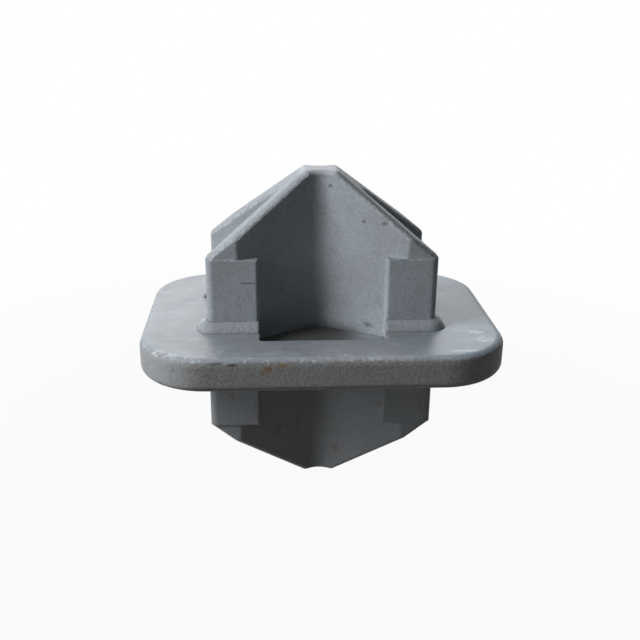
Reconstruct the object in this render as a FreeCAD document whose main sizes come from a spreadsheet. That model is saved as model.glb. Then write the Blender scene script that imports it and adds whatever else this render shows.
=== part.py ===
import FreeCAD, Part

import math
import os
import re

import Sketcher

# Double stacking cone for freight containers.
# Frame: millimetres, +Z up. The origin is on the axis of the cones, half way through
# the flange plate. X runs along the long side of the plate, Y along its short side.
# The upper cone enters the bottom casting of the container above, and the lower cone
# enters the top casting of the container below.

SIZES = {
    # Flange plate
    "plate_length": 181.0,
    "plate_width": 134.0,
    "plate_thickness": 17.0,
    "plate_corner": 34.0,
    "plate_rim": 4.0,
    # Envelope of one cone, with its rises measured from the face of the plate
    "cone_length": 115.0,
    "cone_width": 57.0,
    "shoulder_rise": 36.7,
    "tip_rise": 76.0,
    "tip_length": 16.5,
    # Ribs: half of their thickness, measured along Y, half way through the plate and at the tip
    "rib_half_foot": 9.2,
    "rib_half_tip": 6.5,
    "wide_recess_round": 10.0,
    "narrow_recess_round": 6.0,
    "rib_edge_round": 3.0,
    "inner_edge_bevel": 1.2,
    # Bearing pads at the rib ends
    "pad_length": 25.7,
    "pad_rise": 36.3,
    "pad_proud": 0.8,
    "pad_depth": 6.8,
    "pad_corner": 3.5,
    "pad_edge_round": 1.4,
    # Aperture of the plate, and the weld round each rib end
    "fit_gap": 0.3,
    "weld_leg": 5.0,
    "weld_crown": 0.6,
    "weld_stop": 0.1,
    # Wells sunk in the plate at the foot of the wide recesses
    "well_depth": 6.0,
    "well_reach": 14.5,
    "well_ramp": 11.5,
    "well_corner": 1.2,
}

# Sizes worked out in the sheet from the driving ones. The rounding of the rib edges has to fit
# on the straight part of the tip's long sides.
DERIVED = {
    "plate_half": "plate_thickness / 2",
    "cone_end": "cone_length / 2",
    "cone_side": "cone_width / 2",
    "rib_slope": "cone_width / cone_length",
    "shoulder_height": "plate_half + shoulder_rise",
    "tip_height": "plate_half + tip_rise",
    "tip_half": "tip_length / 2",
    "tip_flat": "tip_half * sqrt(1 + rib_slope ^ 2) - wide_recess_round * rib_slope",
    "rib_edge": "min(rib_edge_round; 0.75 * tip_flat)",
    "pad_height": "plate_half + pad_rise",
    "pad_start": "cone_end - pad_length",
    "pad_face": "cone_side + pad_proud",
    "pad_back": "pad_face - pad_depth",
    "hole_half": "rib_half_foot + fit_gap * sqrt(1 + rib_slope ^ 2)",
    "hole_start": "pad_start - fit_gap",
    "hole_face": "pad_face + fit_gap",
    "hole_end": "cone_end + fit_gap",
    "hole_corner": "pad_corner + fit_gap",
    "weld_toe": "fit_gap + weld_leg",
    "weld_end": "rib_slope * (hole_end + weld_leg) - hole_half + weld_stop",
    "well_front": "pad_face + well_reach",
    "well_floor": "plate_half - well_depth",
}

# Signs of X and Y for the four rib ends, in order round the plate
QUADRANTS = ((1, 1), (-1, 1), (-1, -1), (1, -1))
ENDS = {1: "right", -1: "left"}
SIDES = {1: "back", -1: "front"}
FACES = {1: "upper", -1: "lower"}

# How near an edge has to be to the place where it is looked for
NEAR = 0.05

# Two faces meet at a sharp edge when the cosine between their normals is below this
SMOOTH = 0.9

doc = FreeCAD.newDocument("stacking_cone")
sheet = doc.addObject("Spreadsheet::Sheet", "sizes")


def fill_sheet():
    """Write every size into the sheet, each under its own alias."""
    cells = list(SIZES.items())
    cells += [(alias, "=" + formula) for alias, formula in DERIVED.items()]
    for row, (alias, content) in enumerate(cells, start=1):
        sheet.set(f"A{row}", alias)
        sheet.set(f"B{row}", str(content))
        sheet.setAlias(f"B{row}", alias)
    doc.recompute()


def value_of(formula):
    """Number that a formula on the sheet's aliases gives."""
    return float(sheet.evalExpression(formula))


def bound(formula):
    """The same formula as an expression for objects outside the sheet."""
    def with_sheet(found):
        word = found.group(0)
        known = word in SIZES or word in DERIVED
        return "sizes." + word if known else word
    return re.sub(r"[A-Za-z_]\w*", with_sheet, formula)


def times(sign, formula):
    """A formula on the side that a sign gives."""
    return f"{sign} * ({formula})"


def make_body(name):
    """Start a body whose label names its node."""
    body = doc.addObject("PartDesign::Body", name)
    body.Label = name
    return body


def make_sketch(body, name, role, offset="0"):
    """Sketch on an origin plane of its body, moved along the plane's normal."""
    origin_plane = next(item for item in body.Origin.OriginFeatures if item.Role == role)
    sketch = body.newObject("Sketcher::SketchObject", f"{body.Name}_{name}")
    sketch.AttachmentSupport = (origin_plane, [""])
    sketch.MapMode = "FlatFace"
    sketch.setExpression(".AttachmentOffset.Base.z", bound(offset))
    return sketch


def hold_point(sketch, edge, end, spot):
    """Hold one end of an edge at a spot given by two formulas."""
    for kind, formula in zip(("DistanceX", "DistanceY"), spot):
        rule = Sketcher.Constraint(kind, -1, 1, edge, end, value_of(formula))
        number = sketch.addConstraint(rule)
        sketch.setExpression(f"Constraints[{number}]", bound(formula))


def draw_outline(sketch, spots):
    """Closed outline of straight lines through spots given as pairs of formulas."""
    corners = [FreeCAD.Vector(value_of(across), value_of(up), 0) for across, up in spots]
    first = sketch.GeometryCount
    count = len(corners)
    for number in range(count):
        line = Part.LineSegment(corners[number], corners[(number + 1) % count])
        sketch.addGeometry(line, False)
    for number in range(count):
        following = first + (number + 1) % count
        sketch.addConstraint(Sketcher.Constraint("Coincident", first + number, 2, following, 1))
    for number, spot in enumerate(spots):
        hold_point(sketch, first + number, 1, spot)


def extrude(body, kind, name, sketch, length, both_ways=False):
    """Pad or Pocket of a sketch, with its length as a formula."""
    feature = body.newObject(f"PartDesign::{kind}", f"{body.Name}_{name}")
    feature.Profile = sketch
    feature.Midplane = both_ways
    feature.setExpression("Length", bound(length))
    body.Tip = feature
    doc.recompute()
    return feature


def is_sharp(shape, edge, middle):
    """Whether the two faces of an edge meet at a corner, and not smoothly."""
    normals = [
        face.normalAt(*face.Surface.parameter(middle))
        for face in shape.ancestorsOfType(edge, Part.Face)
    ]
    return len(normals) == 2 and normals[0].dot(normals[1]) < SMOOTH


def find_edges(shape, test):
    """Names of the sharp edges that pass a test of the edge and its middle point."""
    names = []
    for number, edge in enumerate(shape.Edges, start=1):
        middle = edge.valueAt((edge.FirstParameter + edge.LastParameter) / 2)
        if test(middle, edge) and is_sharp(shape, edge, middle):
            names.append(f"Edge{number}")
    return names


def dress(body, kind, name, length, test):
    """Fillet or Chamfer of the edges of the body's tip that pass a test."""
    base = body.Tip
    names = find_edges(base.Shape, test)
    feature = body.newObject(f"PartDesign::{kind}", f"{body.Name}_{name}")
    feature.Base = (base, names)
    feature.setExpression("Radius" if kind == "Fillet" else "Size", bound(length))
    body.Tip = feature
    doc.recompute()
    return feature


def near(value, target):
    """Whether two lengths are the same within the search distance."""
    return abs(value - target) < NEAR


def upright(edge):
    """Whether an edge climbs along Z much more than it runs sideways."""
    box = edge.BoundBox
    return box.ZLength > 4 * math.hypot(box.XLength, box.YLength)


def rib_end_outline(start, face, end, half):
    """Corners of the cross that the ribs and their pads make, as seen from above."""
    spots = []
    for across, deep in QUADRANTS:
        wall = [
            (f"{start}", f"{half} + rib_slope * {start}"),
            (f"{start}", f"{face}"),
            (f"{end}", f"{face}"),
            (f"{end}", f"rib_slope * {end} - {half}"),
        ]
        root = (f"{half} / rib_slope", "0")
        crest = ("0", f"{half}")
        corners = [crest] + wall if across * deep < 0 else [root] + wall[::-1]
        spots += [(times(across, x), times(deep, y)) for x, y in corners]
    return spots


def make_plate():
    """Flange plate with its aperture, weld preparation and wells."""
    body = make_body("base_plate")
    outline = make_sketch(body, "outline", "XY_Plane")
    draw_outline(outline, [
        (times(across, "plate_length / 2"), times(deep, "plate_width / 2"))
        for across, deep in QUADRANTS
    ])
    extrude(body, "Pad", "slab", outline, "plate_thickness", both_ways=True)
    dress(body, "Fillet", "corners", "plate_corner", lambda middle, edge: upright(edge))
    flat = value_of("plate_half")
    dress(body, "Fillet", "rim", "plate_rim", lambda middle, edge: near(abs(middle.z), flat))

    aperture = make_sketch(body, "aperture", "XY_Plane")
    draw_outline(aperture, rib_end_outline("hole_start", "hole_face", "hole_end", "hole_half"))
    extrude(body, "Pocket", "cut_out", aperture, "plate_thickness + 2", both_ways=True)
    round_aperture(body)
    sink_wells(body)
    bevel_aperture(body)
    return body


def round_aperture(body):
    """Round the corners of the aperture as the cones are rounded."""
    crest = value_of("hole_half")
    root = value_of("hole_half / rib_slope")
    face = value_of("hole_face")
    end = value_of("hole_end")
    dress(body, "Fillet", "crests", "wide_recess_round - fit_gap", lambda middle, edge: (
        upright(edge) and near(middle.x, 0) and near(abs(middle.y), crest)))
    dress(body, "Fillet", "roots", "narrow_recess_round - fit_gap", lambda middle, edge: (
        upright(edge) and near(middle.y, 0) and near(abs(middle.x), root)))
    dress(body, "Fillet", "hole_corners", "hole_corner", lambda middle, edge: (
        upright(edge) and near(abs(middle.x), end) and near(abs(middle.y), face)))


def sink_wells(body):
    """Four wells, front and back, above and below, each with a ramp at its far side."""
    section = make_sketch(body, "well_section", "YZ_Plane")
    for side in SIDES:
        for face in FACES:
            draw_outline(section, [
                (times(side, y), times(face, z)) for y, z in (
                    ("hole_half", "well_floor"),
                    ("well_front - well_ramp", "well_floor"),
                    ("well_front", "plate_half"),
                    ("well_front", "plate_half + 1"),
                    ("hole_half", "plate_half + 1"),
                )
            ])
    extrude(body, "Pocket", "wells", section, "2 * hole_start", both_ways=True)
    wall = value_of("hole_start")
    front = value_of("well_front - well_ramp / 2")
    level = value_of("(plate_half + well_floor) / 2")
    dress(body, "Fillet", "well_corners", "well_corner", lambda middle, edge: (
        near(abs(middle.x), wall) and near(abs(middle.y), front) and near(abs(middle.z), level)))


def bevel_aperture(body):
    """Weld preparation along the aperture, on both faces, round each rib end."""
    flat = value_of("plate_half")
    start = value_of("hole_start")
    face = value_of("hole_face")
    end = value_of("hole_end")
    corner = value_of("hole_corner")

    def at_rib_end(middle, edge):
        if not near(abs(middle.z), flat):
            return False
        along_face = near(abs(middle.y), face) and start < abs(middle.x) < end
        along_end = near(abs(middle.x), end) and abs(middle.y) < face
        beside = math.hypot(abs(middle.x) - (end - corner), abs(middle.y) - (face - corner))
        round_corner = near(beside, corner) and abs(middle.x) > end - corner
        return along_face or along_end or round_corner

    dress(body, "Chamfer", "weld_bevel", "weld_leg", at_rib_end)


def make_cone(name, turn):
    """One cone: a cross of ribs cut to a wedge, with a bearing pad on each rib end."""
    body = make_body(name)
    profile = make_sketch(body, "profile", "XZ_Plane")
    draw_outline(profile, [
        ("-cone_end", "0"),
        ("cone_end", "0"),
        ("cone_end", "shoulder_height"),
        ("tip_half", "tip_height"),
        ("-tip_half", "tip_height"),
        ("-cone_end", "shoulder_height"),
    ])
    extrude(body, "Pad", "wedge", profile, "cone_width", both_ways=True)
    cut_recess(body, "wide", "XZ_Plane", "y", "rib_half_tip - rib_half_foot", (
        ("0", "rib_half_foot"),
        ("(cone_width - rib_half_foot) / rib_slope", "cone_width"),
        ("-(cone_width - rib_half_foot) / rib_slope", "cone_width"),
    ))
    cut_recess(body, "narrow", "YZ_Plane", "x", "(rib_half_tip - rib_half_foot) / rib_slope", (
        ("rib_half_foot / rib_slope", "0"),
        ("cone_length", "cone_width - rib_half_foot"),
        ("cone_length", "-(cone_width - rib_half_foot)"),
    ))
    round_recesses(body)
    round_rib_edges(body)
    add_pads(body)
    body.Placement = FreeCAD.Placement(
        FreeCAD.Vector(0, 0, 0), FreeCAD.Rotation(FreeCAD.Vector(1, 0, 0), turn))
    return body


def cut_recess(body, name, mirror_role, axis, lean, corners):
    """Cut one V between two ribs, leaning in along an axis towards the tip, and mirror it."""
    outline = make_sketch(body, f"{name}_recess_outline", "XY_Plane")
    draw_outline(outline, corners)
    recess = body.newObject("PartDesign::Pocket", f"{body.Name}_{name}_recess")
    recess.Profile = outline
    recess.Midplane = True
    recess.UseCustomVector = True
    recess.Direction = FreeCAD.Vector(0, 0, 1)
    recess.setExpression("Direction.z", bound("tip_height"))
    recess.setExpression(f"Direction.{axis}", bound(lean))
    recess.setExpression("Length", bound("2 * tip_height + 2"))
    body.Tip = recess
    doc.recompute()
    origin_plane = next(item for item in body.Origin.OriginFeatures if item.Role == mirror_role)
    mirrored = body.newObject("PartDesign::Mirrored", f"{body.Name}_{name}_recesses")
    mirrored.Originals = [recess]
    mirrored.MirrorPlane = (origin_plane, [""])
    body.Tip = mirrored
    doc.recompute()


def round_recesses(body):
    """Round the bottom of each recess."""
    foot = value_of("rib_half_foot")
    tip = value_of("rib_half_tip")
    slope = value_of("rib_slope")
    dress(body, "Fillet", "wide_roots", "wide_recess_round", lambda middle, edge: (
        upright(edge) and near(middle.x, 0) and tip - NEAR < abs(middle.y) < foot + NEAR))
    dress(body, "Fillet", "narrow_roots", "narrow_recess_round", lambda middle, edge: (
        upright(edge) and near(middle.y, 0)
        and tip - NEAR < abs(middle.x) * slope < foot + NEAR))


def round_rib_edges(body):
    """Round the edges of the ribs, and bevel those beside the narrow recesses."""
    half = value_of("rib_half_tip")
    slope = value_of("rib_slope")
    dress(body, "Fillet", "rib_edges", "rib_edge", lambda middle, edge: (
        middle.z > NEAR and abs(middle.y) > slope * abs(middle.x) - half))
    dress(body, "Chamfer", "inner_edges", "inner_edge_bevel", lambda middle, edge: (
        middle.z > NEAR))


def add_pads(body):
    """Bearing pads that thicken the rib ends where the castings take the load."""
    outline = make_sketch(body, "pad_outlines", "XY_Plane")
    for across, deep in QUADRANTS:
        draw_outline(outline, [
            (times(across, x), times(deep, y)) for x, y in (
                ("pad_start", "pad_back"),
                ("cone_end", "pad_back"),
                ("cone_end", "pad_face"),
                ("pad_start", "pad_face"),
            )
        ])
    extrude(body, "Pad", "pads", outline, "pad_height")
    start = value_of("pad_start")
    face = value_of("pad_face")
    end = value_of("cone_end")
    dress(body, "Fillet", "pad_corners", "pad_corner", lambda middle, edge: (
        upright(edge) and near(abs(middle.x), end) and near(abs(middle.y), face)))
    dress(body, "Fillet", "pad_edges", "pad_edge_round", lambda middle, edge: (
        upright(edge) and near(abs(middle.x), start) and near(abs(middle.y), face)))


def make_weld(across, deep, up):
    """Weld run round one rib end, from the pad's inner edge to the end of the rib."""
    name = f"{FACES[up]}_weld_{SIDES[deep]}_{ENDS[across]}"
    body = make_body(name)
    path = make_sketch(body, "path", "XY_Plane", times(up, "plate_half"))
    spots = [
        (times(across, x), times(deep, y)) for x, y in (
            ("pad_start", "pad_face"),
            ("cone_end - pad_corner", "pad_face"),
            ("cone_end", "pad_face - pad_corner"),
            ("cone_end", "weld_end"),
        )
    ]
    ends = [FreeCAD.Vector(value_of(x), value_of(y), 0) for x, y in spots]
    corner = value_of("pad_corner")
    centre = FreeCAD.Vector(ends[1].x, ends[2].y, 0)
    circle = Part.Circle(centre, FreeCAD.Vector(0, 0, 1), corner)
    first_angle = math.pi / 2 * QUADRANTS.index((across, deep))
    path.addGeometry(Part.LineSegment(ends[0], ends[1]), False)
    path.addGeometry(Part.ArcOfCircle(circle, first_angle, first_angle + math.pi / 2), False)
    path.addGeometry(Part.LineSegment(ends[2], ends[3]), False)
    for edge, end, spot in ((0, 1, 0), (0, 2, 1), (2, 1, 2), (2, 2, 3)):
        hold_point(path, edge, end, spots[spot])
    at_face, at_end = (2, 1) if across * deep > 0 else (1, 2)
    path.addConstraint(Sketcher.Constraint("Coincident", 0, 2, 1, at_face))
    path.addConstraint(Sketcher.Constraint("Coincident", 2, 1, 1, at_end))
    number = path.addConstraint(Sketcher.Constraint("Radius", 1, corner))
    path.setExpression(f"Constraints[{number}]", bound("pad_corner"))

    section = make_sketch(body, "section", "YZ_Plane", times(across, "pad_start"))
    draw_outline(section, [
        (times(deep, y), times(up, z)) for y, z in (
            ("pad_face", "plate_half + weld_leg"),
            ("pad_face + weld_toe / 2 + weld_crown", "plate_half + weld_leg / 2 + weld_crown"),
            ("pad_face + weld_toe", "plate_half"),
            ("pad_face + fit_gap", "plate_half - weld_leg"),
            ("pad_face", "plate_half - weld_leg"),
        )
    ])
    doc.recompute()
    run = body.newObject("PartDesign::AdditivePipe", f"{name}_run")
    run.Profile = section
    run.Spine = (path, ["Edge1", "Edge2", "Edge3"])
    body.Tip = run
    doc.recompute()
    return body


def check(bodies):
    """Stop before anything is written if an object failed or a solid isn't sound."""
    for item in doc.Objects:
        if "Invalid" in item.State or "Error" in item.State:
            raise SystemExit(f"{item.Label} is in the state {item.State}")
    for body in bodies:
        shape = body.Shape
        if shape.isNull() or not shape.isValid() or len(shape.Solids) != 1:
            raise SystemExit(f"{body.Label} isn't one sound solid")


def main():
    fill_sheet()
    bodies = [make_plate(), make_cone("upper_cone", 0), make_cone("lower_cone", 180)]
    for up in FACES:
        bodies += [make_weld(across, deep, up) for across, deep in QUADRANTS]
    doc.recompute()
    check(bodies)
    os.makedirs("parts", exist_ok=True)
    for body in bodies:
        body.Shape.exportStep(f"parts/{body.Label}.step")
        print(f"{body.Label}: {body.Shape.Volume / 1000:.1f} cm3, {len(body.Shape.Faces)} faces")


main()
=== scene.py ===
import functools
import math

import bpy
from mathutils import Matrix, Vector


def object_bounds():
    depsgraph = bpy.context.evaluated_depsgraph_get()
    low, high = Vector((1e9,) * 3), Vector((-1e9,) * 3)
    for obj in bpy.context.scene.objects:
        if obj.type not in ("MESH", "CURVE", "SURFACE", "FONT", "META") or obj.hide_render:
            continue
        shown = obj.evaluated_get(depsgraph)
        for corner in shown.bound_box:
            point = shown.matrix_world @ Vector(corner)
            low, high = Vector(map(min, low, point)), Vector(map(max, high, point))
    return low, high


# Appearance of the double stacking cone. Lengths are in metres, in the CAD's frame:
# x runs across to the right, y goes deep to the back, z is the level, 0 half way through the plate.

IMAGE_WIDTH = 640

# Camera, fitted to the photograph
CAMERA_DISTANCE = 0.467
CAMERA_AZIMUTH = math.radians(-3.6)
CAMERA_ELEVATION = math.radians(21.1)
CAMERA_ROLL = math.radians(0.6)
CAMERA_NEAREST = 0.01
FOCAL_PIXELS = 868
CENTRE_RIGHT_PIXELS = -1.2
CENTRE_DOWN_PIXELS = 4.2
SENSOR_MILLIMETRES = 36

# Lamps: direction from the part, side of the square, power in watts
LAMP_DISTANCE = 1.1
LAMPS = {
    "left": ((-0.78, -0.28, 0.56), 0.45, 8.6),
    "behind": ((-0.02, 0.75, 0.62), 0.9, 5.8),
    "low_left": ((-0.88, -0.42, 0.21), 0.35, 2.9),
}
SKY_LIGHT = 0.01

# Floor: its size, gap and grey, and the share that shines plainly near the part, all of it far off
FLOOR_SIZE = 60
FLOOR_DROP = 0.001
FLOOR_GREY = 0.15
FLOOR_NEAR = 0.95
FLOOR_NEAR_RADIUS = 0.1
FLOOR_FAR_RADIUS = 0.6

# Sizes of the patterns in the finishes
SAND = 0.001
PLATE_SAND = 0.0011
WORN_BITS = 0.0022
MARK_OUTLINE = 0.0016
CAST_LUMPS = 0.006
CAST_CLOUDS = 0.022
CAST_STAINS = 0.008
CAST_PIT_SPACING = 0.012
CAST_PIT_RADIUS = 0.0007
CAST_RUST = 0.016
PLATE_LUMPS = 0.007
PLATE_CLOUDS = 0.024
PLATE_STREAKS = 0.007
PLATE_STREAK_SCALE = (0.5, 1, 1)
PLATE_MOTTLES = 0.012
EDGE_BLOTCHES = 0.006
RUST_FLAKES = 0.0019
RUST_PATCHES = 0.02
WELD_LUMPS = 0.004
WELD_RIPPLE_RADIANS_PER_METRE = 2300

# Roundings that the light sees on sharp edges, the reach of wear from them, and the bumps
CAST_ROUNDING = 0.0012
CAST_WEAR = 0.0013
PLATE_ROUNDING = 0.0008
WELD_ROUNDING = 0.0018
BUMP_STRENGTH = 0.34
CAST_BUMP = 0.0005
PLATE_BUMP = 0.0006
EDGE_SAMPLES = 6
EDGE_TURN = (0.015, 0.12)

# Level of the mirror-like shine
CAST_SHINE = 0.2
PLATE_SHINE = 0.3

# Share of a speck's radius that is full, and the fade of a mark from its middle
SPECK_CORE = 0.6
MARK_FADE = (0.9, 1.5)

# Places where a finish changes: the two ends of each change
UNDER_PLATE = (-0.03, -0.0085)
TIP_WEAR = (0.081, 0.0845)
# Painted shade in the roots of the recesses, at the cone's foot
FOOT_SHADE_LEVEL = (0.004, 0.012)
FOOT_SHADE_ACROSS = (0.012, 0.026)
SHADE_DEEP = (0.036, 0.058)
SHADE_ACROSS = (0.05, 0.075)
BLUE_ACROSS = (0.03, 0.07)
WELL_LEVEL = (0.003, 0.0082)
WELL_DEEP = (0.042, 0.044)
WELL_ACROSS = (0.008, 0.024)
# The edge's left corner gets painted light and its right corner painted shade
PAINTED_LIGHT_CORNER = (0.058, 0.075)
PAINTED_SHADE_CORNER = (0.078, 0.09)
OUTER_DEEP = (0.044, 0.048)
OUTER_ACROSS = (0.06, 0.07)
WELD_TURN = (0.0555, 0.0595)
WELD_FOOT = (0.009, 0.0117)

# Slopes where a finish changes, as the upward part of the normal, downward for LOWER ones
RIDGE_STARTS = (0.12, 0.25)
RIDGE_ENDS = (0.62, 0.75)
FACE_STARTS = (0.45, 0.8)
LOWER_FACE_STARTS = (0.85, 0.98)
LOWER_RIM = (0.1, 0.5)
RIM_STARTS = (0.5, 0.8)
RIM_ENDS = (0.97, 0.999)

# Marks: the middle of each, and how far out it reaches
CONE_PITS = [
    ((0.0048, -0.0091, 0.077), (0.0016, 0.002, 0.0012)),
    ((0.021, -0.0177, 0.0608), (0.0014, 0.002, 0.0014)),
    ((0.0306, -0.0224, 0.061), (0.0018, 0.002, 0.0014)),
    ((0.024, -0.0209, 0.0073), (0.0032, 0.003, 0.002)),
    ((-0.0365, -0.0292, 0.0331), (0.0052, 0.002, 0.0006)),
]
PLATE_DENTS = [
    ((-0.0505, -0.0668, 0.0067), (0.0042, 0.002, 0.0011)),
    ((-0.0435, -0.0668, 0.0057), (0.0035, 0.002, 0.0009)),
]
PLATE_RUST = [
    ((-0.0275, -0.067, 0.0035), (0.0026, 0.002, 0.0022)),
    ((-0.021, -0.067, 0.0055), (0.0034, 0.002, 0.0011)),
    ((-0.03, -0.067, 0.0018), (0.002, 0.002, 0.0012)),
    ((0.0246, -0.067, 0.0068), (0.0011, 0.002, 0.0009)),
]
# Painted glints along the front rim, and pale mottles near the right corner
PLATE_GLINTS_AND_MOTTLES = [
    ((-0.0042, -0.0634, 0.0085), (0.0014, 0.0016, 0.002)),
    ((0.0082, -0.0625, 0.0085), (0.0032, 0.0012, 0.002)),
    ((-0.0795, -0.0555, 0.008), (0.0048, 0.0035, 0.002)),
    ((-0.0735, -0.0595, 0.008), (0.004, 0.0025, 0.002)),
    ((0.0789, -0.045, 0.0085), (0.006, 0.006, 0.002)),
    ((0.0765, -0.036, 0.0085), (0.005, 0.004, 0.002)),
]
# Painted highlight along the front right rim
RIM_HIGHLIGHT = [((0.066, -0.0593, 0.0085), (0.0095, 0.0013, 0.002))]
WELD_GLINT = [((-0.06, -0.0215, 0.0105), (0.0035, 0.0045, 0.005))]

# Sockets of the mix node, by number because their names repeat
MIX_MASK = 0
MIX_FIRST = 6
MIX_SECOND = 7
MIX_COLOUR = 2

# Nodes by what they are made of
CONES = ("upper_cone", "lower_cone")
PLATE = "base_plate"


class Socket:
    """One output socket, with the arithmetic that the materials use."""

    def __init__(self, nodes, link):
        self.nodes = nodes
        self.link = link

    def maths(self, operation, *values):
        return self.nodes.node("ShaderNodeMath", {"operation": operation}, values)

    def __add__(self, other):
        return self.maths("ADD", self, other)

    def __sub__(self, other):
        return self.maths("SUBTRACT", self, other)

    def __rsub__(self, other):
        return self.maths("SUBTRACT", other, self)

    def __neg__(self):
        return 0 - self

    def __mul__(self, other):
        return self.maths("MULTIPLY", self, other)

    __radd__ = __add__
    __rmul__ = __mul__

    def size(self):
        return self.maths("ABSOLUTE", self)

    def sine(self):
        return self.maths("SINE", self)

    def either(self, other):
        return self.maths("MAXIMUM", self, other)

    def ramp(self, low, high):
        """0 at low, 1 at high, smooth between them."""
        settings = {"interpolation_type": "SMOOTHSTEP"}
        values = {"Value": self, "From Min": low, "From Max": high}
        return self.nodes.node("ShaderNodeMapRange", settings, values)


class Nodes:
    """The node tree of a material or of the world."""

    def __init__(self, owner):
        owner.use_nodes = True
        self.tree = owner.node_tree

    def first(self, kind):
        """The node of a type that the tree starts with."""
        return next(node for node in self.tree.nodes if node.type == kind)

    def node(self, kind, settings, values, output=0):
        """Add a node: its settings first, then the values or links of its sockets."""
        node = self.tree.nodes.new(kind)
        for name, setting in settings.items():
            setattr(node, name, setting)
        pairs = values.items() if isinstance(values, dict) else enumerate(values)
        for name, value in pairs:
            self.feed(node.inputs[name], value)
        return Socket(self, node.outputs[output])

    def feed(self, socket, value):
        if isinstance(value, Socket):
            self.tree.links.new(value.link, socket)
        else:
            socket.default_value = value

    def seen_plainly(self):
        """1 for rays from the camera, in reflections and through glass, otherwise 0."""
        camera = self.node("ShaderNodeLightPath", {}, {}, "Is Camera Ray")
        glossy = self.node("ShaderNodeLightPath", {}, {}, "Is Glossy Ray")
        through = self.node("ShaderNodeLightPath", {}, {}, "Is Transmission Ray")
        return camera.either(glossy).either(through)

    def place(self):
        """Object coordinates."""
        return self.node("ShaderNodeTexCoord", {}, {}, "Object")

    def split(self, vector):
        parts = self.node("ShaderNodeSeparateXYZ", {}, [vector])
        return [Socket(self, output) for output in parts.link.node.outputs]


class Finish(Nodes):
    """A material with one Principled shader, and the nodes that feed it."""

    def __init__(self, name):
        self.material = bpy.data.materials.new(name)
        super().__init__(self.material)
        self.shader = self.first("BSDF_PRINCIPLED")

    def set(self, **values):
        """Feed the shader's own sockets, named with _ for a space."""
        for name, value in values.items():
            self.feed(self.shader.inputs[name.replace("_", " ")], value)

    def facing_up(self):
        """Upward part of the object-space normal: 1 on top faces, -1 on undersides."""
        return self.split(self.node("ShaderNodeTexCoord", {}, {}, "Normal"))[2]

    def noise(self, size, detail, roughness=0.55, scale=None):
        """Cloudy value about 0.5, with features of a size, longer along an axis scaled below 1."""
        place = self.place()
        if scale is not None:
            place = self.node("ShaderNodeMapping", {}, {"Vector": place, "Scale": scale})
        values = {"Vector": place, "Scale": 1 / size, "Detail": detail, "Roughness": roughness}
        return self.node("ShaderNodeTexNoise", {}, values)

    def specks(self, spacing, radius):
        """1 in round specks at random places, about a spacing apart."""
        values = {"Vector": self.place(), "Scale": 1 / spacing}
        distance = self.node("ShaderNodeTexVoronoi", {}, values, "Distance")
        return 1 - distance.ramp(SPECK_CORE * radius / spacing, radius / spacing)

    def mix(self, mask, first, second):
        """Colour that goes from the first to the second as the mask rises."""
        values = {MIX_MASK: mask, MIX_FIRST: first, MIX_SECOND: second}
        return self.node("ShaderNodeMix", {"data_type": "RGBA"}, values, MIX_COLOUR)

    def mark(self, centre, reach, ragged):
        """1 about a centre, fading to 0 near its reach along each axis, with a ragged outline."""
        offset = self.node("ShaderNodeVectorMath", {"operation": "SUBTRACT"}, [self.place(), centre])
        scaled = self.node("ShaderNodeVectorMath", {"operation": "DIVIDE"}, [offset, reach])
        away = self.node("ShaderNodeVectorMath", {"operation": "LENGTH"}, [scaled], "Value")
        return 1 - (away + ragged).ramp(*MARK_FADE)

    def marks(self, places):
        """1 in every mark of a list."""
        ragged = self.noise(MARK_OUTLINE, 2)
        found = [self.mark(centre, reach, ragged) for centre, reach in places]
        return functools.reduce(Socket.either, found)

    def bump(self, height, distance, normal):
        values = {
            "Height": height,
            "Strength": BUMP_STRENGTH,
            "Distance": distance,
            "Normal": normal,
        }
        return self.node("ShaderNodeBump", {}, values)

    def soft_edge(self, radius):
        """Normal that rounds every sharp edge by a radius."""
        return self.node("ShaderNodeBevel", {"samples": EDGE_SAMPLES}, {"Radius": radius})

    def worn_edge(self, radius):
        """1 on sharp edges and 0 on open faces."""
        rounded = self.soft_edge(radius)
        true = self.node("ShaderNodeNewGeometry", {}, {}, "True Normal")
        product = {"operation": "DOT_PRODUCT"}
        likeness = self.node("ShaderNodeVectorMath", product, [rounded, true], "Value")
        return (1 - likeness).ramp(*EDGE_TURN)


def steel(value, cool):
    """Grey of a linear value, bluer with cool above 0 and browner below it."""
    return (value * (1 - cool), value, value * (1 + cool), 1)


RUST = (0.15, 0.062, 0.025, 1)
RUST_BRIGHT = (0.21, 0.14, 0.08, 1)
# Painted shade for the parts below the plate
SHADE_BELOW_PLATE = steel(0.12, -0.03)
# Dark crust-brown: the colour of dents, and painted shade in the wells and on the plate's lower rim
DARK_CRUST_AND_SHADE = steel(0.05, -0.1)


def under_plate(level):
    """1 well below the plate, fading to 0 at its underside."""
    return 1 - level.ramp(*UNDER_PLATE)


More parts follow.
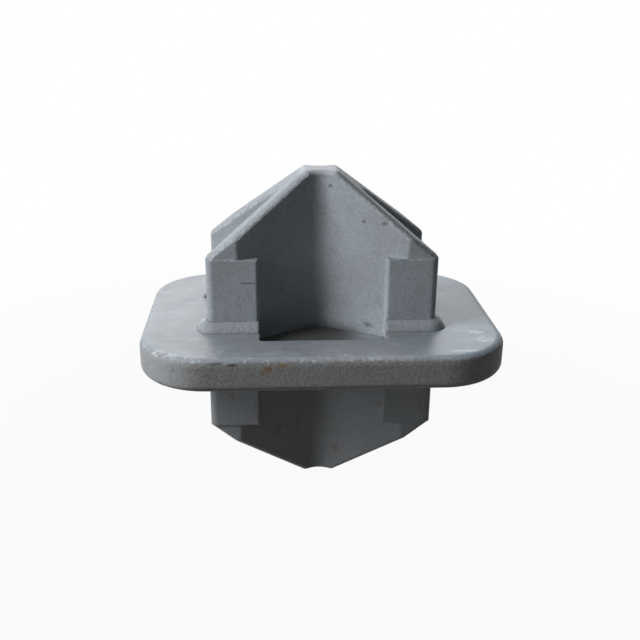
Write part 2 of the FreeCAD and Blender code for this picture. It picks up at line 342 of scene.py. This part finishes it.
def cast_steel():
    """Galvanised casting: cloudy cool grey with a sandy skin, small pits and worn, ragged edges."""
    finish = Finish("cast_steel")
    across, _, level = finish.split(finish.place())
    clouds = finish.noise(CAST_CLOUDS, 5).ramp(0.3, 0.7)
    sand = finish.noise(SAND, 3, 0.65)
    lumps = finish.noise(CAST_LUMPS, 4)
    worn = finish.noise(WORN_BITS, 3, 0.7)

    pits = finish.specks(CAST_PIT_SPACING, CAST_PIT_RADIUS) * clouds
    pits = pits.either(finish.marks(CONE_PITS))
    stains = finish.noise(CAST_STAINS, 4, 0.65).ramp(0.58, 0.72)
    colour = finish.mix(clouds, steel(0.37, 0.09), steel(0.45, 0.1))
    colour = finish.mix(sand.ramp(0.35, 0.7) * 0.5, colour, steel(0.24, 0.06))
    colour = finish.mix(stains * 0.3, colour, steel(0.22, 0.03))
    colour = finish.mix(pits * 0.6, colour, steel(0.1, 0.0))

    under = under_plate(level)
    # Painted shade on the cone below the plate
    colour = finish.mix(under * 0.5, colour, SHADE_BELOW_PLATE)
    rusty = under * finish.noise(CAST_RUST, 4).ramp(0.55, 0.68)
    colour = finish.mix(rusty * 0.25, colour, RUST)

    tip = level.ramp(*TIP_WEAR)
    colour = finish.mix(tip * 0.6, colour, steel(0.62, 0.08))
    # Painted shade in the roots of the recesses, at the cone's foot
    foot = 1 - (level.size() + lumps * 0.006).ramp(*FOOT_SHADE_LEVEL)
    root = 1 - across.size().ramp(*FOOT_SHADE_ACROSS)
    colour = finish.mix(foot * root * 0.75, colour, steel(0.06, -0.12))

    slope = finish.facing_up().size()
    ridge = slope.ramp(*RIDGE_STARTS) * (1 - slope.ramp(*RIDGE_ENDS))
    edge = finish.worn_edge(CAST_WEAR).either(ridge * 0.8)
    bright = edge * worn.ramp(0.45, 0.6) * (1 - under)
    colour = finish.mix(bright * 0.6, colour, steel(0.68, 0.07))

    height = sand * 0.6 + lumps * 1.6 + worn * edge * 4.5 - pits * 1.2
    finish.set(
        Base_Color=colour,
        Roughness=0.46 + 0.14 * clouds,
        Specular_IOR_Level=CAST_SHINE,
        Normal=finish.bump(height, CAST_BUMP, finish.soft_edge(CAST_ROUNDING)),
    )
    return finish.material


def plate_face(finish, worn, fine):
    """Colour of the plate's faces: pale and mottled, with painted shade round the cone, and dark
    crust-brown painted shade in the wells, strongest at their left.
    """
    across, deep, level = finish.split(finish.place())
    clouds = finish.noise(PLATE_CLOUDS, 5, 0.6).ramp(0.32, 0.68)
    streaks = finish.noise(PLATE_STREAKS, 5, 0.65, PLATE_STREAK_SCALE).ramp(0.5, 0.72)
    mottles = worn.ramp(0.5, 0.66) * finish.noise(PLATE_MOTTLES, 3).ramp(0.45, 0.65)
    face = finish.mix(clouds, steel(0.33, 0.11), steel(0.42, 0.09))
    face = finish.mix(across.ramp(*BLUE_ACROSS) * 0.5, face, steel(0.36, 0.3))
    face = finish.mix(streaks * 0.45, face, steel(0.58, 0.11))
    face = finish.mix(mottles * 0.6, face, steel(0.62, 0.1))
    face = finish.mix(fine.ramp(0.45, 0.75) * 0.35, face, steel(0.24, 0.1))

    # Painted shade on the plate round the cone, broken into blotches
    near_cone = (1 - deep.size().ramp(*SHADE_DEEP)) * (1 - across.size().ramp(*SHADE_ACROSS))
    painted_shade_near_cone = near_cone * finish.noise(PLATE_MOTTLES, 4).ramp(0.3, 0.65)
    face = finish.mix(painted_shade_near_cone * 0.55, face, steel(0.16, 0.05))
    # Painted shade in the wells, dark crust-brown and strongest at their left
    sunken = 1 - level.size().ramp(*WELL_LEVEL)
    well = sunken * (1 - deep.size().ramp(*WELL_DEEP)) * (1 - across.ramp(*WELL_ACROSS))
    return finish.mix(well * 0.85, face, DARK_CRUST_AND_SHADE)


def plate_edge(finish, coarse, blotches, dents):
    """Colour of the plate's edge: brown-grey, with painted light at the left corner and painted shade
    at the right.
    """
    across = finish.split(finish.place())[0]
    lower_rim = (-finish.facing_up()).ramp(*LOWER_RIM)
    painted_light_corner = (-across).ramp(*PAINTED_LIGHT_CORNER) * blotches.ramp(0.3, 0.5)
    edge = finish.mix(coarse.ramp(0.3, 0.72), steel(0.17, 0.0), steel(0.32, 0.03))
    edge = finish.mix(blotches.ramp(0.45, 0.7) * 0.4, edge, steel(0.18, -0.06))
    # Painted shade on the plate's downward-facing lower rim
    edge = finish.mix(lower_rim * 0.75, edge, DARK_CRUST_AND_SHADE)
    # Painted light at the edge's left corner and painted shade at its right corner
    edge = finish.mix(painted_light_corner * 0.7, edge, steel(0.36, 0.06))
    edge = finish.mix(across.ramp(*PAINTED_SHADE_CORNER) * 0.7, edge, steel(0.08, -0.04))

    flakes = finish.noise(RUST_FLAKES, 2).ramp(0.68, 0.75)
    flakes = flakes * finish.noise(RUST_PATCHES, 2).ramp(0.5, 0.62)
    rust = (flakes * 0.7).either(finish.marks(PLATE_RUST))
    edge = finish.mix(rust, edge, RUST_BRIGHT)
    return finish.mix(dents * 0.8, edge, DARK_CRUST_AND_SHADE)


def plate_wear_and_highlights(finish, worn, slope):
    """How bare and bright the plate is: worn bits and painted highlight along its upper rim, painted
    glints and pale mottles at the marks, and a painted highlight along the front right rim.
    """
    across, deep, _ = finish.split(finish.place())
    outer = deep.size().ramp(*OUTER_DEEP).either(across.size().ramp(*OUTER_ACROSS))
    rim = outer * slope.ramp(*RIM_STARTS) * (1 - finish.facing_up().ramp(*RIM_ENDS))
    # The upper rim is lighter from wear and from painted highlight
    worn_and_lit_rim = rim * worn.ramp(0.55, 0.66) * 0.4
    marked = finish.marks(PLATE_GLINTS_AND_MOTTLES) * worn.ramp(0.4, 0.62) * 0.8
    return worn_and_lit_rim.either(marked).either(finish.marks(RIM_HIGHLIGHT) * 0.9)


def plate_steel():
    """Galvanised plate: pale mottled faces, and a coarse, darker, browner flame-cut edge."""
    finish = Finish("plate_steel")
    worn = finish.noise(WORN_BITS, 3, 0.7)
    facing_up = finish.facing_up()
    slope = facing_up + (worn - 0.5) * 0.7
    side = 1 - slope.ramp(*FACE_STARTS) - (-facing_up).ramp(*LOWER_FACE_STARTS)
    fine = finish.noise(PLATE_SAND, 3, 0.6)
    coarse = finish.noise(PLATE_SAND, 4, 0.7)
    blotches = finish.noise(EDGE_BLOTCHES, 4, 0.65)
    dents = finish.marks(PLATE_DENTS)

    face = plate_face(finish, worn, fine)
    edge = plate_edge(finish, coarse, blotches, dents)
    colour = finish.mix(side, face, edge)
    # Near-white where the plate is worn bare, and at its painted glints and highlights
    colour = finish.mix(plate_wear_and_highlights(finish, worn, slope), colour, steel(0.76, 0.06))

    skin = fine * 0.4 + coarse * side * 1.3
    swells = blotches * side * 1.6 + finish.noise(PLATE_LUMPS, 4) * 1.1
    finish.set(
        Base_Color=colour,
        Roughness=0.36 + 0.3 * side,
        Specular_IOR_Level=PLATE_SHINE,
        Normal=finish.bump(skin + swells - dents * 2.5, PLATE_BUMP, finish.soft_edge(PLATE_ROUNDING)),
    )
    return finish.material


def weld_metal():
    """Fillet weld under zinc: as grey as the casting, uneven, with faint ripples along the run."""
    finish = Finish("weld_metal")
    across, deep, level = finish.split(finish.place())
    sand = finish.noise(SAND, 3, 0.65)
    lumps = finish.noise(WELD_LUMPS, 3)
    turned = across.size().ramp(*WELD_TURN)
    along = across.size() * (1 - turned) - deep.size() * turned
    ripple = ((along + level.size() * 0.5 + lumps * 0.004) * WELD_RIPPLE_RADIANS_PER_METRE).sine()

    # Painted shade on the weld's lower part, at its foot
    foot = 1 - (level.size() + lumps * 0.002).ramp(*WELD_FOOT)
    colour = finish.mix(sand.ramp(0.35, 0.7) * 0.5, steel(0.38, 0.09), steel(0.24, 0.06))
    colour = finish.mix(foot * 0.5, colour, steel(0.2, 0.04))
    colour = finish.mix(finish.marks(WELD_GLINT) * 0.8, colour, steel(0.72, 0.06))
    # Painted shade on the welds below the plate
    colour = finish.mix(under_plate(level) * 0.5, colour, SHADE_BELOW_PLATE)

    height = ripple * 0.09 + lumps * 2.2 + sand * 0.5
    finish.set(
        Base_Color=colour,
        Roughness=0.48,
        Specular_IOR_Level=CAST_SHINE,
        Normal=finish.bump(height, CAST_BUMP, finish.soft_edge(WELD_ROUNDING)),
    )
    return finish.material


def paint_node(name, material):
    """Give a CAD node its material."""
    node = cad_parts[name]
    if not node.data.materials:
        node.data.materials.append(material)
    for slot in node.material_slots:
        slot.material = material


def paint_nodes():
    cast = cast_steel()
    plate = plate_steel()
    weld = weld_metal()
    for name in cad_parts:
        if name in CONES:
            paint_node(name, cast)
        elif name == PLATE:
            paint_node(name, plate)
        else:
            paint_node(name, weld)


def add_camera():
    """Camera where the photograph was taken from."""
    back = Vector((
        math.sin(CAMERA_AZIMUTH) * math.cos(CAMERA_ELEVATION),
        -math.cos(CAMERA_AZIMUTH) * math.cos(CAMERA_ELEVATION),
        math.sin(CAMERA_ELEVATION),
    ))
    level_right = Vector((0, 0, 1)).cross(back).normalized()
    level_up = back.cross(level_right)
    right = level_right * math.cos(CAMERA_ROLL) + level_up * math.sin(CAMERA_ROLL)
    up = back.cross(right)
    data = bpy.data.cameras.new("camera")
    data.sensor_width = SENSOR_MILLIMETRES
    data.lens = FOCAL_PIXELS / IMAGE_WIDTH * SENSOR_MILLIMETRES
    data.shift_x = -CENTRE_RIGHT_PIXELS / IMAGE_WIDTH
    data.shift_y = CENTRE_DOWN_PIXELS / IMAGE_WIDTH
    data.clip_start = CAMERA_NEAREST
    camera = bpy.data.objects.new("camera", data)
    turn = Matrix((right, up, back)).transposed().to_4x4()
    camera.matrix_world = Matrix.Translation(back * CAMERA_DISTANCE) @ turn
    bpy.context.collection.objects.link(camera)
    bpy.context.scene.camera = camera


def add_lamps():
    """Square soft lamps round the part, aimed at it."""
    for name, (direction, side, power) in LAMPS.items():
        data = bpy.data.lights.new(name, "AREA")
        data.shape = "SQUARE"
        data.size = side
        data.energy = power
        lamp = bpy.data.objects.new(name, data)
        lamp.location = Vector(direction).normalized() * LAMP_DISTANCE
        lamp.rotation_euler = (-lamp.location).to_track_quat("-Z", "Y").to_euler()
        lamp.visible_camera = False
        bpy.context.collection.objects.link(lamp)


def add_world():
    """White to the camera and in reflections, and a weak even light on the part."""
    world = bpy.data.worlds.new("studio")
    nodes = Nodes(world)
    background = nodes.first("BACKGROUND")
    seen = nodes.seen_plainly()
    nodes.feed(background.inputs["Color"], (1, 1, 1, 1))
    nodes.feed(background.inputs["Strength"], seen + (1 - seen) * SKY_LIGHT)
    bpy.context.scene.world = world


def add_floor():
    """Floor under the part, nearly white to the camera, which keeps a faint shadow."""
    low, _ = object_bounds()
    bpy.ops.mesh.primitive_plane_add(size=FLOOR_SIZE, location=(0, 0, low[2] - FLOOR_DROP))
    floor = bpy.context.object
    floor.name = "floor"
    finish = Finish("floor")
    finish.set(Base_Color=(FLOOR_GREY, FLOOR_GREY, FLOOR_GREY, 1), Roughness=0.9)
    away = finish.node("ShaderNodeVectorMath", {"operation": "LENGTH"}, [finish.place()], "Value")
    plain = FLOOR_NEAR + (1 - FLOOR_NEAR) * away.ramp(FLOOR_NEAR_RADIUS, FLOOR_FAR_RADIUS)
    glow = finish.node("ShaderNodeEmission", {}, {"Strength": 1})
    shaded = Socket(finish, finish.shader.outputs[0])
    both = finish.node("ShaderNodeMixShader", {}, [finish.seen_plainly() * plain, shaded, glow])
    finish.feed(finish.first("OUTPUT_MATERIAL").inputs["Surface"], both)
    floor.data.materials.append(finish.material)


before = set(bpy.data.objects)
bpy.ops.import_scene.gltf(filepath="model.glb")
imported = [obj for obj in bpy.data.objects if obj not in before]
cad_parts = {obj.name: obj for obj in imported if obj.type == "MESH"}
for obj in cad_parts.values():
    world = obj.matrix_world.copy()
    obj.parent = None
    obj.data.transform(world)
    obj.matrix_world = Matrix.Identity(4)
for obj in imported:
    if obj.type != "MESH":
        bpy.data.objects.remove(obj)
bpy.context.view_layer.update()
bpy.context.scene.view_settings.view_transform = "Standard"
paint_nodes()
add_floor()
add_world()
add_lamps()
add_camera()
